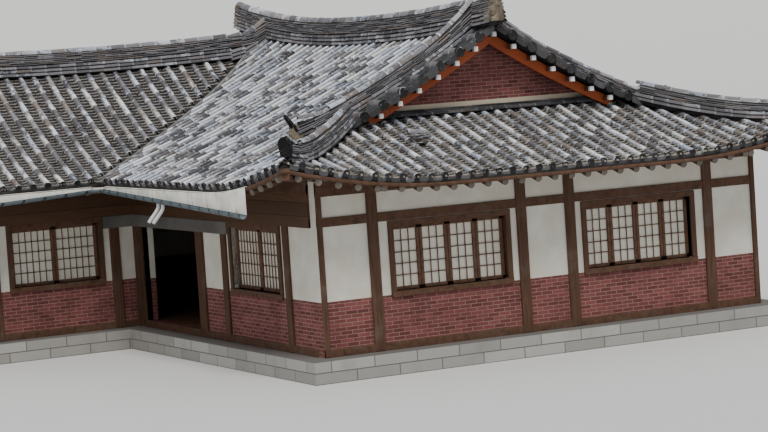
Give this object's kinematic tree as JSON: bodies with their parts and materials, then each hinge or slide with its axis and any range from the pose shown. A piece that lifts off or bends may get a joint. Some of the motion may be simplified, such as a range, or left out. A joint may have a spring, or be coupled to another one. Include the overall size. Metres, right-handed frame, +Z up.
{
  "type": "hanok house",
  "caption": "L-shaped hanok house with a hip-and-gable tiled main roof, a lower tiled wing, brick gables under bargeboards, sheet aprons and a gutter.",
  "frame": {"origin": "ground level under the middle of the front bargeboard plane, on the centre line of the main ridge", "axes": "+X to the right along the front gable, +Y back along the main ridge, +Z up; the wing runs towards -X"},
  "size_m": [15.3, 14.2, 6.0383],
  "materials": {
    "tile": "dark slate grey fired clay roof tiles, unglazed, weathered, with pale lichen",
    "ridge": "dark fired clay ridge tiles in stacked layers, bedded in pale mortar",
    "brick": "dark red-brown brick infill with tan mortar and a cement band",
    "board": "orange-red painted bargeboards with square white verge blocks",
    "timber": "dark brown stained rafters and boards, weathered",
    "stone": "grey dressed granite plinth",
    "apron": "ivory painted sheet with faint rust streaks",
    "gutter": "blue-grey painted half-round sheet gutter",
    "pipe": "white weathered plastic pipe",
    "paper": "pale paper behind timber lattice",
    "wall": "brick and timber framed wall"
  },
  "bodies": {
    "root": {"main_left_slope": "tile", "main_right_slope": "tile", "wing_front_slope": "tile", "wing_rear_slope": "tile", "main_left_rear_slope": "tile", "front_skirt": "tile", "rear_skirt": "tile", "wing_end_skirt": "tile", "main_ridge": "ridge", "wing_ridge": "ridge", "front_left_descending_ridge": "ridge", "front_right_descending_ridge": "ridge", "front_left_hip_ridge": "ridge", "front_right_hip_ridge": "ridge", "rear_right_descending_ridge": "ridge", "rear_right_hip_ridge": "ridge", "rear_left_ridge": "ridge", "wing_front_descending_ridge": "ridge", "wing_front_hip_ridge": "ridge", "wing_rear_descending_ridge": "ridge", "wing_rear_hip_ridge": "ridge", "front_gable_wall": "brick", "rear_gable_wall": "brick", "wing_gable_wall": "brick", "front_bargeboards": "board", "rear_bargeboards": "board", "wing_bargeboards": "board", "main_foundation": "stone", "wing_foundation": "stone", "main_floor": "timber", "wing_floor": "timber", "main_left_rafters": "timber", "main_right_rafters": "timber", "front_rafters": "timber", "rear_rafters": "timber", "wing_rear_rafters": "timber", "wing_front_rafters": "timber", "wing_end_rafters": "timber", "front_wall": "wall", "right_wall": "wall", "rear_wall": "wall", "main_left_wall": "wall", "wing_front_wall": "wall", "wing_end_wall": "wall", "front_windows": "paper", "right_windows": "paper", "rear_windows": "paper", "main_left_window": "paper", "wing_front_windows": "paper", "wing_end_window": "paper", "main_left_apron": "apron", "wing_front_apron": "apron", "main_left_gutter": "gutter", "wing_front_gutter": "gutter", "main_left_near_spout": "pipe", "main_left_far_spout": "pipe"}
  },
  "joints": []
}
